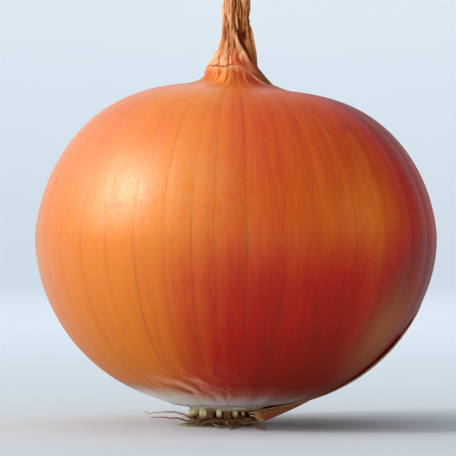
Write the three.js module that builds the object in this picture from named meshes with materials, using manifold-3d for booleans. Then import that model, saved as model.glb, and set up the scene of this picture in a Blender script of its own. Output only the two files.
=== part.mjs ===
// An onion, cured and whole. It stands on the small flat underside of its root tuft, neck up.
// Its pieces are the bulb in its dry copper skin, the dried neck that rises out of it, a torn
// remnant of the outermost skin at the lower right, the pale root plate, and the brown root tuft.
// Millimetres, +Z up. The front is -Y and the right is +X. An azimuth is measured in radians
// from the front towards the right, so it runs counterclockwise seen from above.

import * as THREE from "three";
import { mergeVertices } from "three/addons/utils/BufferGeometryUtils.js";
import Module from "manifold-3d";

// The bulb
const BULB_RADIUS = 40;
const EQUATOR_HEIGHT = 37.2;
const LOWER_DEPTH = 33.9;
const UPPER_RISE = 30.2;
const LOWER_POWERS = [0.86, 1.05]; // on the cosine and the sine: an ellipse has 1 and 1
const UPPER_POWERS = [0.65, 1.18]; // flatter over the crown and fuller at its shoulder
const SHOULDER_RADIUS = 12; // where the shoulder turns up into the neck
const SHOULDER_LEAN = 0.85; // the left shoulder is higher than the right one by twice this
const ROOT_END_RADIUS = 8.4;
const ROOT_END_SHIFT = -2.2; // the root end sits left of the axis
const ROOT_END_SPREAD = 16; // the radius where that sideways shift has died out

// The veins, which are grooves between shallow ribs
const VEINS = 36;
const VEIN_JITTER = 0.9; // degrees
const VEIN_CROWDING = 5.5; // degrees by which the front veins crowd to the left
const VEIN_START = -1.2; // degrees from the front
const RIB_HEIGHT = 0.2;
const PLEAT_HEIGHT = 0.34; // the ribs grow to this where they gather at the neck
const COLUMNS_A_RIB = 3;

// The neck
const NECK_RADIUS = 2.6;
const NECK_LENGTH = 27.6;
const FLARE_REACH = 5.55; // the quick part of the flare at the neck's foot
const FLARE_RISE = 0.8;
const SWELL_REACH = 3.7; // the slow part
const SWELL_RISE = 6.9;
const FOLD_DEPTH = 0.13; // of the neck's radius
const NECK_COLUMNS = 54;
const SOCKET_RADIUS = 3.9; // the neck stands in this plain hole in the bulb
const SOCKET_DEPTH = 3.5;
const GAP = 0.3; // between neighbouring pieces

// The seam where the bulb's skin ends round the neck, as heights above the shoulder
const SEAM_HEIGHT = 4.2;
const SEAM_DIP = 3.2; // at the right, where the neck's sheath reaches down to the shoulder
const SEAM_DIP_FROM = [14, 48]; // degrees over which the seam falls
const SEAM_DIP_TO = [105, 150]; // degrees over which it rises again
const SEAM_SLANT = 1; // the seam's face falls this much on its way in to the socket

// The torn remnant of outer skin, which springs clear of the bulb near the root plate
const REMNANT_FROM = 62; // degrees
const REMNANT_TO = 168;
const REMNANT_THICKNESS = 0.6;
const REMNANT_SAG = 1.6; // below the bulb at its free lower end
const REMNANT_FREE = 17; // it lies on the bulb outside this radius
const REMNANT_END = 7.6; // the radius that its free lower end reaches in to
const REMNANT_TOP = 24; // its highest torn point
const REMNANT_BED = 0.85; // the bulb is this much smaller where the remnant covers it
const REMNANT_CELLS = [30, 12];

// The root plate and the root tuft
const PLATE_RADIUS = 6.7;
const PLATE_BOTTOM = 1.7;
const PLATE_TOP = 5.2;
const RECESS_DEPTH = 2.4;
const STUBS = 15; // swollen root bases round the plate's rim
const STUB_REACH = 0.8;
const TUFT_RADIUS = 6.8;
const TUFT_TOP = 1.4;
const FOOT_RADIUS = 6.3;
const ROOT_RADIUS = 0.36;
const ROOT_SIDES = 5;
const SEEDED_ROOTS = 13;
const SEED = 20;

const DEGREE = Math.PI / 180;
const { lerp, smoothstep, clamp } = THREE.MathUtils;

// A repeatable random number from 0 to 1 for each call
function seededRandom(seed) {
  let state = seed;
  return () => {
    state = (state * 1664525 + 1013904223) % 4294967296;
    return state / 4294967296;
  };
}

const random = seededRandom(SEED);

// Closed outline shapes

// A closed surface of rows and columns, as a sphere's: the first and last rows are its poles
function wrapped(columns, rows, pointAt) {
  const geometry = new THREE.SphereGeometry(1, columns, rows);
  const position = geometry.getAttribute("position");
  for (let n = 0; n < position.count; n++) {
    const column = (n % (columns + 1)) % columns;
    const row = rows - Math.floor(n / (columns + 1));
    position.setXYZ(n, ...pointAt(row === 0 || row === rows ? 0 : column, row));
  }
  return closed(geometry);
}

// The geometry with its shared vertices merged, so that it is one closed surface
function closed(geometry) {
  geometry.deleteAttribute("uv");
  geometry.deleteAttribute("normal");
  const merged = mergeVertices(geometry, 1e-3);
  merged.computeVertexNormals();
  return merged;
}

// A point at a radius, azimuth and height, with its axis moved sideways
function around(radius, azimuth, height, shift = [0, 0]) {
  return [
    shift[0] + radius * Math.sin(azimuth),
    shift[1] - radius * Math.cos(azimuth),
    height,
  ];
}

// The veins' azimuths once round, in order
const veins = Array.from({ length: VEINS }, (_, i) => {
  const even = (360 / VEINS) * (i - VEINS / 2);
  const crowding = VEIN_CROWDING * Math.exp(-(((even - 8) / 20) ** 2));
  const jitter = VEIN_JITTER * (2 * random() - 1);
  return (even + VEIN_START - crowding + jitter) * DEGREE;
});

// An azimuth a whole number of columns round, where the first column of each rib is on its vein
function columnAzimuth(column) {
  const rib = Math.floor(column / COLUMNS_A_RIB);
  const next = rib + 1 < VEINS ? veins[rib + 1] : veins[0] + 2 * Math.PI;
  return lerp(veins[rib], next, (column % COLUMNS_A_RIB) / COLUMNS_A_RIB);
}

// How far the skin stands out at an azimuth, from -1 in a vein to a half on the rib
function ribWave(azimuth) {
  const turn = 2 * Math.PI;
  const from = veins[0];
  const a = from + ((((azimuth - from) % turn) + turn) % turn);
  let rib = veins.length - 1;
  while (rib > 0 && veins[rib] > a + 1e-9) rib--;
  const next = rib + 1 < VEINS ? veins[rib + 1] : veins[0] + turn;
  const share = (a - veins[rib]) / (next - veins[rib]);
  return 6 * share * (1 - share) - 1;
}

// The whole onion's outer surface, from the root end at 0, over the equator at 1 and the
// shoulder at 2, to the neck's tip at 3

const angleAt = (radius, powers) =>
  Math.acos((radius / BULB_RADIUS) ** (1 / powers[0]));
const lowerHeight = (angle) =>
  EQUATOR_HEIGHT - LOWER_DEPTH * Math.sin(angle) ** LOWER_POWERS[1];
const upperHeight = (angle) =>
  EQUATOR_HEIGHT + UPPER_RISE * Math.sin(angle) ** UPPER_POWERS[1];
const rootAngle = angleAt(ROOT_END_RADIUS, LOWER_POWERS);
const shoulderAngle = angleAt(SHOULDER_RADIUS, UPPER_POWERS);
const shoulderHeight = upperHeight(shoulderAngle);
const rootEndHeight = lowerHeight(rootAngle);
const neckTaper = 2.2; // rows are closer together at the neck's foot, where the flare is

function neckRadius(rise) {
  const flare = FLARE_REACH * Math.exp(-rise / FLARE_RISE);
  const swell = SWELL_REACH * Math.exp(-((rise / SWELL_RISE) ** 2));
  return NECK_RADIUS + flare + swell;
}

// The place on the lower half at a height
const lowerPlaceAt = (height) =>
  1 -
  Math.asin(((EQUATOR_HEIGHT - height) / LOWER_DEPTH) ** (1 / LOWER_POWERS[1])) /
    rootAngle;

const riseAt = (place) => NECK_LENGTH * clamp(place - 2, 0, 1) ** neckTaper;
const placeAt = (rise) => 2 + (rise / NECK_LENGTH) ** (1 / neckTaper);

// Folds in the dried neck, which wind round its foot and run nearly straight above
function foldWave(azimuth, rise) {
  const twist = (60 * (1 - Math.exp(-rise / 3.5)) + 1.5 * rise) * DEGREE;
  const a = azimuth + twist;
  return (
    0.5 * Math.sin(7 * a + 0.4) +
    0.35 * Math.sin(11 * a + 1.3 + 0.1 * rise) +
    0.25 * Math.sin(4 * a + 0.25 * rise)
  );
}

// The sideways place of the axis, which bends a little along the neck
function neckShift(rise) {
  const foot = -0.75 * Math.exp(-(((rise - 4.6) / 2.2) ** 2)) * (rise > 0);
  const tipX = 0.018 * Math.max(0, rise - 17) ** 2;
  const tipY = 0.01 * Math.max(0, rise - 12) ** 2;
  return [foot + tipX, tipY];
}

// The root end isn't under the middle: the sideways place of the bulb's lower rings
const rootShift = (radius) => [
  ROOT_END_SHIFT * (1 - smoothstep(radius, ROOT_END_RADIUS, ROOT_END_SPREAD)),
  0,
];

// How far under the remnant of outer skin a place is, from 0 to 1
function remnantCover(place, azimuth) {
  const degrees = Math.atan2(Math.sin(azimuth), Math.cos(azimuth)) / DEGREE;
  return (
    smoothstep(degrees, REMNANT_FROM - 6, REMNANT_FROM + 20) *
    (1 - smoothstep(degrees, REMNANT_TO - 25, REMNANT_TO + 8)) *
    (1 - smoothstep(place, 0.55, 0.9))
  );
}

function outerPoint(place, azimuth, proud = 0) {
  const rise = riseAt(place);
  const gather = smoothstep(place, 1.75, 2.25);
  let radius;
  let height;
  let lean = 0;
  let shift = neckShift(rise);
  if (place <= 1) {
    const angle = lerp(rootAngle, 0, place);
    radius = BULB_RADIUS * Math.cos(angle) ** LOWER_POWERS[0];
    height = lowerHeight(angle);
    shift = rootShift(radius);
    radius -= REMNANT_BED * remnantCover(place, azimuth);
  } else if (place <= 2) {
    const angle = lerp(0, shoulderAngle, place - 1);
    radius = BULB_RADIUS * Math.cos(angle) ** UPPER_POWERS[0];
    height = upperHeight(angle);
    lean = Math.sin(angle) ** 2;
  } else {
    radius = neckRadius(rise);
    height = shoulderHeight + rise;
    lean = Math.sin(shoulderAngle) ** 2 * Math.exp(-rise / 2);
  }
  const folds = smoothstep(rise, 0.3, 4) * FOLD_DEPTH * foldWave(azimuth, rise);
  const ribs =
    lerp(RIB_HEIGHT, PLEAT_HEIGHT, gather) * (1 - smoothstep(rise, 3, 6));
  const out = radius * (1 + folds) + ribs * ribWave(azimuth) + proud;
  return around(
    out,
    azimuth,
    height - SHOULDER_LEAN * lean * Math.sin(azimuth),
    shift,
  );
}

// How high the seam between the bulb's skin and the neck's sheath is above the shoulder
function seamRise(azimuth) {
  const degrees = Math.atan2(Math.sin(azimuth), Math.cos(azimuth)) / DEGREE;
  const dip =
    smoothstep(degrees, ...SEAM_DIP_FROM) *
    (1 - smoothstep(degrees, ...SEAM_DIP_TO));
  const ragged =
    0.2 * Math.sin(5 * azimuth + 1) + 0.13 * Math.sin(11 * azimuth + 2);
  return SEAM_HEIGHT - SEAM_DIP * dip + ragged * (1 - 0.7 * dip);
}

// A point on the seam's slanting face, at the socket's mouth, for a gap above the bulb
function socketMouth(azimuth, radius, gap) {
  const seam = outerPoint(placeAt(seamRise(azimuth)), azimuth);
  return around(radius, azimuth, seam[2] - SEAM_SLANT + gap);
}

// The bulb in its dry skin, with a recess below for the root plate and a socket above
function bulb() {
  const socketFloor = shoulderHeight - SOCKET_DEPTH;
  const rootEnd = (radius, azimuth, height) =>
    around(radius, azimuth, height, [ROOT_END_SHIFT, 0]);
  const recessTop = rootEndHeight + RECESS_DEPTH;
  const recessRadius = PLATE_RADIUS + GAP;
  const outerRows = [];
  const add = (from, to, count) => {
    for (let i = 0; i < count; i++)
      outerRows.push((a) => outerPoint(lerp(from, to, i / count), a));
  };
  add(0, 1, 11);
  add(1, 2, 11);
  const flareRows = 4;
  for (let i = 0; i <= flareRows; i++)
    outerRows.push((a) =>
      outerPoint(lerp(2, placeAt(seamRise(a)), i / flareRows), a),
    );
  const rows = [
    () => rootEnd(0, 0, recessTop),
    (a) => rootEnd(recessRadius, a, recessTop),
    (a) => rootEnd(recessRadius, a, rootEndHeight),
    ...outerRows,
    (a) => socketMouth(a, SOCKET_RADIUS, 0),
    (a) => around(SOCKET_RADIUS, a, socketFloor),
    () => around(0, 0, socketFloor),
  ];
  return wrapped(VEINS * COLUMNS_A_RIB, rows.length - 1, (column, row) =>
    rows[row](columnAzimuth(column)),
  );
}

// The dried neck: its foot fills the socket, its sheath ends at the seam, and its tip is torn
function neck() {
  const stubRadius = SOCKET_RADIUS - GAP;
  const stubBottom = shoulderHeight - SOCKET_DEPTH + GAP;
  const sheathRows = 17;
  const tip = (share, drop) => (a) => {
    const rim = outerPoint(3, a);
    const centre = [...neckShift(NECK_LENGTH), rim[2]];
    const ragged = 0.7 * Math.sin(3 * a + 0.5) + 0.5 * Math.sin(8 * a);
    return [0, 1, 2].map(
      (i) => lerp(centre[i], rim[i], share) + (i === 2 ? ragged * share - drop : 0),
    );
  };
  const rows = [
    () => around(0, 0, stubBottom),
    (a) => around(stubRadius, a, stubBottom),
    (a) => socketMouth(a, stubRadius, GAP),
  ];
  for (let i = 0; i < sheathRows; i++) {
    const start = (a) => placeAt(seamRise(a) + GAP * 1.2);
    rows.push((a) => {
      const point = outerPoint(lerp(start(a), 3, i / sheathRows), a);
      return point;
    });
  }
  rows.push(tip(1, 0), tip(0.72, 0.2), tip(0.5, 1.6), () => tip(0, 2.2)(0));
  return wrapped(NECK_COLUMNS, rows.length - 1, (column, row) =>
    rows[row]((column / NECK_COLUMNS) * 2 * Math.PI),
  );
}

// The remnant of outermost skin: a thin curved patch over the bulb with torn edges
function outerSkinRemnant() {
  const [across, along] = REMNANT_CELLS;
  const geometry = new THREE.BoxGeometry(1, 1, 1, across, along, 1);
  const position = geometry.getAttribute("position");
  for (let n = 0; n < position.count; n++) {
    const u = position.getX(n) + 0.5;
    const v = position.getY(n) + 0.5;
    const outside = position.getZ(n) > 0;
    position.setXYZ(n, ...remnantPoint(u, v, outside));
  }
  return closed(geometry);
}

// A point of the remnant: u runs round from its front edge, v up from its free lower end
function remnantPoint(u, v, outside) {
  const torn = 1.3 * Math.sin(5.5 * v + 1) + 0.7 * Math.sin(14 * v);
  const azimuth =
    lerp(REMNANT_FROM + 17 * v ** 0.6, REMNANT_TO - 30 * v * v, u) +
    torn * (1 - 2 * u);
  const tornTop =
    REMNANT_TOP -
    8 * (1 - Math.sin(Math.PI * u ** 0.8)) +
    1.1 * Math.sin(17 * u) +
    0.6 * Math.sin(41 * u + 2);
  const topPlace = lowerPlaceAt(tornTop);
  const tornEnd =
    REMNANT_END + 4 * smoothstep(u, 0.1, 0.8) + 0.7 * Math.sin(11 * u + 1);
  const reach = lerp(tornEnd, ROOT_END_RADIUS, clamp(v / 0.15, 0, 1));
  const place = topPlace * clamp((v - 0.15) / 0.85, 0, 1);
  const a = azimuth * DEGREE;
  const base = new THREE.Vector3(...outerPoint(place, a));
  const up = new THREE.Vector3(...outerPoint(place + 0.01, a)).sub(base);
  const round = new THREE.Vector3(...outerPoint(place, a + 0.01)).sub(base);
  const normal = round.cross(up).normalize();
  const ribsClear = 0.12;
  const off = GAP + ribsClear + (outside ? REMNANT_THICKNESS : 0);
  base.addScaledVector(normal, off);
  const radius = Math.hypot(base.x - ROOT_END_SHIFT, base.y);
  const free = clamp((REMNANT_FREE - radius) / (REMNANT_FREE - REMNANT_END), 0, 1);
  base.z -= REMNANT_SAG * free * (1 - 0.5 * u);
  const inward = ROOT_END_RADIUS - reach;
  base.x -= inward * Math.sin(a);
  base.y += inward * Math.cos(a);
  base.z -= 0.3 * inward;
  return base.toArray();
}

// The root plate: a low pale cone in the bulb's recess, with swollen root bases on its rim
function rootPlate() {
  const stubWave = (azimuth) =>
    Math.max(0, Math.cos(STUBS * azimuth + 0.8 * Math.sin(2 * azimuth))) ** 0.8;
  const columns = STUBS * 6;
  const at = (radius, reach, height) => (a) =>
    around(radius + reach * stubWave(a), a, height, [ROOT_END_SHIFT, 0]);
  const rows = [
    () => around(0, 0, PLATE_BOTTOM, [ROOT_END_SHIFT, 0]),
    at(PLATE_RADIUS - 1.3, STUB_REACH * 0.6, PLATE_BOTTOM),
    at(PLATE_RADIUS - 0.8, STUB_REACH, PLATE_BOTTOM + 0.5),
    at(PLATE_RADIUS - 0.4, STUB_REACH, PLATE_BOTTOM + 1.2),
    at(PLATE_RADIUS - 0.1, STUB_REACH * 0.4, rootEndHeight - GAP - 0.05),
    at(PLATE_RADIUS, 0, rootEndHeight - 0.1),
    at(PLATE_RADIUS, 0, PLATE_TOP),
    () => around(0, 0, PLATE_TOP, [ROOT_END_SHIFT, 0]),
  ];
  return wrapped(columns, rows.length - 1, (column, row) =>
    rows[row]((column / columns) * 2 * Math.PI),
  );
}

// A dried root: a tapering tube along a curve, blunt where it starts and fine at its tip
function rootTube(points, radius) {
  const curve = new THREE.CatmullRomCurve3(
    points.map((p) => new THREE.Vector3(...p)),
  );
  const steps = 2 * (points.length - 1);
  const up = new THREE.Vector3(0, 0, 1);
  return wrapped(ROOT_SIDES, steps + 2, (column, row) => {
    const along = clamp((row - 1) / steps, 0, 1);
    const centre = curve.getPointAt(along);
    if (row === 0 || row === steps + 2) {
      const push = row === 0 ? -0.1 : 0.3;
      return centre.addScaledVector(curve.getTangentAt(along), push).toArray();
    }
    const tangent = curve.getTangentAt(along);
    const side = new THREE.Vector3().crossVectors(up, tangent).normalize();
    const top = new THREE.Vector3().crossVectors(tangent, side);
    const turn = (column / ROOT_SIDES) * 2 * Math.PI;
    const thick = radius * (1 - 0.55 * along);
    return centre
      .addScaledVector(side, -thick * Math.sin(turn))
      .addScaledVector(top, thick * Math.cos(turn))
      .toArray();
  });
}

// The points of a root that leaves the tuft at an azimuth, droops and lies along the surface
function splayedRoot(azimuth, length, curl, rise) {
  const points = [];
  const count = 4;
  for (let i = 0; i <= count; i++) {
    const share = i / count;
    const reach = TUFT_RADIUS - 2 + (length + 2) * share;
    const height = lerp(0.9, rise, share) + 0.25 * Math.sin(5 * share + azimuth);
    const turned = azimuth + (curl * share * share * length) / reach;
    points.push(
      around(reach, turned, Math.max(height, ROOT_RADIUS), [ROOT_END_SHIFT, 0]),
    );
  }
  return points;
}

// The roots that stand out most, each by its azimuth in degrees, length, curl and tip height
const LONG_ROOTS = [
  [-84, 9.4, 0.05, 2.5],
  [-72, 8.4, -0.12, 1.5],
  [46, 5.2, 0.25, 0.5],
  [60, 2.8, -0.5, 0.5],
  [-28, 4.2, -0.9, 0.5],
  [8, 4.8, -0.7, 0.5],
];

// The brown root tuft: a corky mat, flat below, with the dried roots fused into it
async function rootTuft() {
  const wasm = await Module();
  wasm.setup();
  const solidOf = (geometry) =>
    new wasm.Manifold(
      new wasm.Mesh({
        numProp: 3,
        vertProperties: new Float32Array(geometry.getAttribute("position").array),
        triVerts: new Uint32Array(geometry.index.array),
      }),
    );
  const columns = 40;
  const ragged = (a) => 0.35 * Math.sin(9 * a + 0.5) + 0.25 * Math.sin(16 * a);
  const at = (radius, share, height) => (a) =>
    around(radius + share * ragged(a), a, height, [ROOT_END_SHIFT, 0]);
  const rows = [
    () => around(0, 0, 0, [ROOT_END_SHIFT, 0]),
    at(FOOT_RADIUS, 0.5, 0),
    at(TUFT_RADIUS, 1, 0.5),
    at(TUFT_RADIUS - 0.5, 1, TUFT_TOP),
    () => around(0, 0, TUFT_TOP, [ROOT_END_SHIFT, 0]),
  ];
  let tuft = solidOf(
    wrapped(columns, rows.length - 1, (column, row) =>
      rows[row]((column / columns) * 2 * Math.PI),
    ),
  );
  const seeded = Array.from({ length: SEEDED_ROOTS }, (_, i) => [
    (280 / SEEDED_ROOTS) * (i + 0.8 * random()) + 75,
    lerp(1.2, 4.4, random()),
    lerp(-0.9, 0.9, random()),
    lerp(0.4, 1.1, random()),
  ]);
  for (const [azimuth, length, curl, rise] of [...LONG_ROOTS, ...seeded]) {
    const points = splayedRoot(azimuth * DEGREE, length, curl, rise);
    tuft = tuft.add(solidOf(rootTube(points, ROOT_RADIUS)));
  }
  const mesh = tuft.getMesh();
  const geometry = new THREE.BufferGeometry();
  geometry.setAttribute(
    "position",
    new THREE.BufferAttribute(mesh.vertProperties, mesh.numProp),
  );
  geometry.setIndex(new THREE.BufferAttribute(mesh.triVerts, 1));
  geometry.computeVertexNormals();
  return geometry;
}

function named(name, geometry, color, roughness) {
  const material = new THREE.MeshStandardMaterial({ color, roughness, metalness: 0 });
  const mesh = new THREE.Mesh(geometry, material);
  mesh.name = name;
  return mesh;
}

const onion = new THREE.Group();
onion.add(
  named("bulb", bulb(), 0xc9622a, 0.32),
  named("dried_neck", neck(), 0xb98450, 0.75),
  named("outer_skin_remnant", outerSkinRemnant(), 0x8c4520, 0.5),
  named("root_plate", rootPlate(), 0xb5a878, 0.8),
  named("root_tuft", await rootTuft(), 0x4a3022, 0.9),
);

export default onion;
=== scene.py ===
"""An onion, cured and whole: its ribbed copper skin, twisted dry neck, torn outer skin and roots."""

import math
import random

import bpy
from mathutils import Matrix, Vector


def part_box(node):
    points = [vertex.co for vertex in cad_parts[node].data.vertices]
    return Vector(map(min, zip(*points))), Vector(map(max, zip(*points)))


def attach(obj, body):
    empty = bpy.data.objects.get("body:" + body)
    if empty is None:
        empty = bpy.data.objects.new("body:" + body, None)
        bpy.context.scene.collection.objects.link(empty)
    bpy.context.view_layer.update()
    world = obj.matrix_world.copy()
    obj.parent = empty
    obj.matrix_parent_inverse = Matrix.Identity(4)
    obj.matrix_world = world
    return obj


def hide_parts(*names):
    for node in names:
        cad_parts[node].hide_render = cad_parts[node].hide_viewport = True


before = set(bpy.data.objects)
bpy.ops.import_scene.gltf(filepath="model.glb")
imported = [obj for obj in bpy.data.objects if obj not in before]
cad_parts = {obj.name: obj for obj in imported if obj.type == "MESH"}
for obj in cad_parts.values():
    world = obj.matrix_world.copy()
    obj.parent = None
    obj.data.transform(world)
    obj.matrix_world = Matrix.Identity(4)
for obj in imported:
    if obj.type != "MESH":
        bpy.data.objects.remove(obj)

bl_info = {
    "name": "Onion",
    "version": (1, 0, 0),
    "blender": (4, 5, 0),
    "location": "3D View > Sidebar > Onion",
    "description": "Grows a cured onion with its skin, dry neck and roots, and lights it",
    "category": "Add Mesh",
}

MM = 0.001
TURN = 2 * math.pi
DEGREE = math.pi / 180
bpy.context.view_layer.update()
BULB_LOW, BULB_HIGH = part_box("bulb")
PLATE_LOW, PLATE_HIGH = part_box("root_plate")
NECK_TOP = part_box("dried_neck")[1][2]
SHOULDER_TOP = 68.1 * MM


# Node trees written as expressions


def forward(operation):
    """A method that works an operation out on the wire and what follows it."""
    return lambda self, *others: self.calc(operation, self, *others)


def reflected(operation):
    """The same with the wire last, as in 1 - mask."""
    return lambda self, other: self.calc(operation, other, self)


class Wire:
    """A socket in an expression. Arithmetic on it adds Math nodes, or Vector Math on a vector."""

    def __init__(self, nodes, socket):
        self.nodes = nodes
        self.socket = socket

    def calc(self, operation, *values):
        kinds = {v.socket.type for v in values if isinstance(v, Wire)}
        kind = "ShaderNodeVectorMath" if kinds & {"VECTOR", "RGBA"} else "ShaderNodeMath"
        return self.nodes.add(kind, {"operation": operation}, dict(enumerate(values)))

    __add__ = forward("ADD")
    __radd__ = reflected("ADD")
    __sub__ = forward("SUBTRACT")
    __rsub__ = reflected("SUBTRACT")
    __mul__ = forward("MULTIPLY")
    __rmul__ = reflected("MULTIPLY")
    __truediv__ = forward("DIVIDE")
    __pow__ = forward("POWER")
    __abs__ = forward("ABSOLUTE")
    sin = forward("SINE")
    cos = forward("COSINE")
    asin = forward("ARCSINE")
    acos = forward("ARCCOSINE")
    atan2 = forward("ARCTAN2")
    exp = forward("EXPONENT")
    floor = forward("FLOOR")
    fraction = forward("FRACT")
    at_least = forward("MAXIMUM")
    at_most = forward("MINIMUM")
    exceeds = forward("GREATER_THAN")

    def __neg__(self):
        return self * -1.0

    def span(self, low, high, smooth=False):
        """0 at low and 1 at high, straight or eased, and held outside them."""
        kind = "SMOOTHSTEP" if smooth else "LINEAR"
        sockets = {"Value": self, "From Min": low, "From Max": high}
        return self.nodes.add("ShaderNodeMapRange", {"interpolation_type": kind}, sockets)

    def ease(self, low, high):
        return self.span(low, high, smooth=True)

    def fade(self, low, high):
        """1 at low, eased to 0 at high."""
        return 1.0 - self.ease(low, high)

    def bell(self, centre, width):
        """1 at the centre, falling to 0 over a few widths."""
        share = (self - centre) / width
        return (share * share * -1.0).exp()

    def also(self, name):
        """Another output of the same node."""
        return Wire(self.nodes, self.socket.node.outputs[name])


class Nodes:
    """A node tree that is being written."""

    def __init__(self, tree):
        self.tree = tree

    def add(self, kind, settings=None, sockets=None, output=0):
        """Adds a node: its settings come first, then its sockets' values or links."""
        node = self.tree.nodes.new(kind)
        for name, value in (settings or {}).items():
            if name == "stops":
                ends = node.color_ramp.elements
                stops = [(place, (*colour, 1.0)) for place, colour in value]
                ends[0].position, ends[0].color = stops[0]
                ends[1].position, ends[1].color = stops[-1]
                for place, colour in stops[1:-1]:
                    ends.new(place).color = colour
            else:
                setattr(node, name, value)
        for key, value in (sockets or {}).items():
            socket = node.inputs[key] if isinstance(key, int) else self.found(node.inputs, key)
            if isinstance(value, Wire):
                self.tree.links.new(value.socket, socket)
            elif isinstance(value, (int, float)) and socket.type in ("VECTOR", "RGBA"):
                socket.default_value = [value] * len(socket.default_value)
            elif socket.type == "RGBA":
                socket.default_value = (*value, 1.0)
            else:
                socket.default_value = value
        outputs = [socket for socket in node.outputs if socket.enabled]
        if not outputs:
            return None
        chosen = outputs[output] if isinstance(output, int) else self.found(outputs, output)
        return Wire(self, chosen)

    @staticmethod
    def found(sockets, name):
        return next(socket for socket in sockets if socket.enabled and socket.name == name)

    def vector(self, x, y, z):
        return self.add("ShaderNodeCombineXYZ", None, {"X": x, "Y": y, "Z": z})

    def parts(self, vector):
        x = self.add("ShaderNodeSeparateXYZ", None, {"Vector": vector}, "X")
        return x, x.also("Y"), x.also("Z")

    def mix(self, factor, a, b):
        """A colour between two others."""
        sockets = {0: factor, "A": a, "B": b}
        return self.add("ShaderNodeMix", {"data_type": "RGBA"}, sockets)

    def noise(self, vector, detail=2.0, roughness=0.5, scale=1.0):
        """Soft noise from about -0.5 to 0.5, at a vector or three numbers."""
        if isinstance(vector, tuple):
            vector = self.vector(*vector)
        sockets = {"Vector": vector, "Scale": scale, "Detail": detail, "Roughness": roughness}
        return self.add("ShaderNodeTexNoise", None, sockets) - 0.5

    def position(self):
        return self.add("GeometryNodeInputPosition")

    def place(self):
        """Object coordinates."""
        return self.add("ShaderNodeTexCoord", None, None, "Object")

    def mark(self, name):
        """A number that a piece's tree kept on its points."""
        return self.add("ShaderNodeAttribute", {"attribute_name": name}, None, "Fac")


# Sizes and colours that a user would change


def length(name, description, default):
    return bpy.props.FloatProperty(
        name=name, description=description, default=default, unit="LENGTH", precision=5
    )


def colour(name, description, default):
    return bpy.props.FloatVectorProperty(
        name=name, description=description, default=default, subtype="COLOR", min=0, max=1
    )


class OnionSizes(bpy.types.PropertyGroup):
    bulb_radius: length(
        "Bulb Radius", "Half the bulb's width", (BULB_HIGH[0] - BULB_LOW[0]) / 2 - 0.1 * MM
    )
    equator_height: length("Equator Height", "Height of the widest ring", 37.2 * MM)
    lower_depth: length("Lower Depth", "From the widest ring to the root end's tip", 33.9 * MM)
    upper_rise: length("Upper Rise", "From the widest ring to the crown", 30.2 * MM)
    shoulder_radius: length("Shoulder Radius", "Where the crown turns up the neck", 12 * MM)
    shoulder_lean: length("Shoulder Lean", "How much higher the left shoulder is", 0.85 * MM)
    root_end_radius: length("Root End Radius", "The skin's edge round the root plate", 8.4 * MM)
    root_end_shift: length("Root End Shift", "The root end's sideways place", -2.2 * MM)
    rib_height: length("Rib Height", "The swell between two veins", 0.04 * MM)
    pleat_height: length("Pleat Height", "The pleats' height under the collar", 0.45 * MM)
    neck_radius: length("Neck Radius", "Half the dry neck's thickness", 2.6 * MM)
    neck_length: length("Neck Length", "From the shoulder to the tip", NECK_TOP - SHOULDER_TOP)
    seam_height: length("Collar Height", "The torn collar's height on the neck", 4.2 * MM)
    seam_dip: length("Collar Dip", "How far the tear runs down at the right", 3.2 * MM)
    vein_count: bpy.props.IntProperty(
        name="Veins", description="Veins round the bulb", default=36, min=6
    )
    seed: bpy.props.IntProperty(
        name="Seed", description="Seed for the roots and root bases", default=7
    )


class OnionColours(bpy.types.PropertyGroup):
    golden: colour("Golden", "The skin's palest side", (0.80, 0.21, 0.010))
    orange: colour("Orange", "The skin's main colour", (0.70, 0.125, 0.009))
    copper: colour("Copper", "The skin's ripe side", (0.58, 0.050, 0.005))
    # Deep Red and Darkest Red are partly painted shade, for the lower skin and the side turned from the
    # light
    deep: colour("Deep Red", "Skin low on the ripe side", (0.48, 0.010, 0.002))
    darkest: colour("Darkest Red", "Skin where the ripe side turns away", (0.29, 0.010, 0.002))
    olive: colour("Olive", "A weathered patch low at the right", (0.44, 0.125, 0.026))
    vein: colour("Vein", "Thin dark veins", (0.17, 0.026, 0.006))
    bare: colour("Bare Root End", "The pale scale round the root plate", (1.0, 0.95, 0.88))
    blush: colour("Blush", "Between the skin and its pale end", (0.58, 0.23, 0.135))
    # Straw, Husk and Bark follow the neck's relief; the contrast between them is partly painted
    # highlight on the ridges and painted shade in the valleys
    straw: colour("Straw", "Ridges of the dry neck", (0.86, 0.47, 0.23))
    husk: colour("Husk", "Slopes of the dry neck", (0.63, 0.215, 0.052))
    bark: colour("Bark", "Valleys of the dry neck", (0.20, 0.034, 0.008))
    leather: colour("Leather", "The torn outer skin", (0.80, 0.30, 0.09))
    cork: colour("Cork", "The root plate", (0.90, 0.84, 0.64))
    sprout: colour("Sprout", "The swollen root bases", (0.80, 0.74, 0.32))
    earth: colour("Earth", "The root mat and the dark roots", (0.27, 0.125, 0.05))
    dry_root: colour("Dry Root", "The pale dry roots", (0.55, 0.41, 0.24))
    floor: colour("Floor", "The backdrop's floor", (0.55, 0.61, 0.66))
    backdrop: colour("Backdrop", "The backdrop's wall", (0.80, 0.84, 0.86))


def size_inputs(*names):
    """The named sizes, or all but the seed, as a tree's inputs: label to value."""
    sizes = bpy.context.scene.onion_sizes
    labels = sizes.bl_rna.properties
    names = names or [name for name in OnionSizes.__annotations__ if name != "seed"]
    return {labels[name].name: getattr(sizes, name) for name in names}


# From a tree to a finished piece


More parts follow.
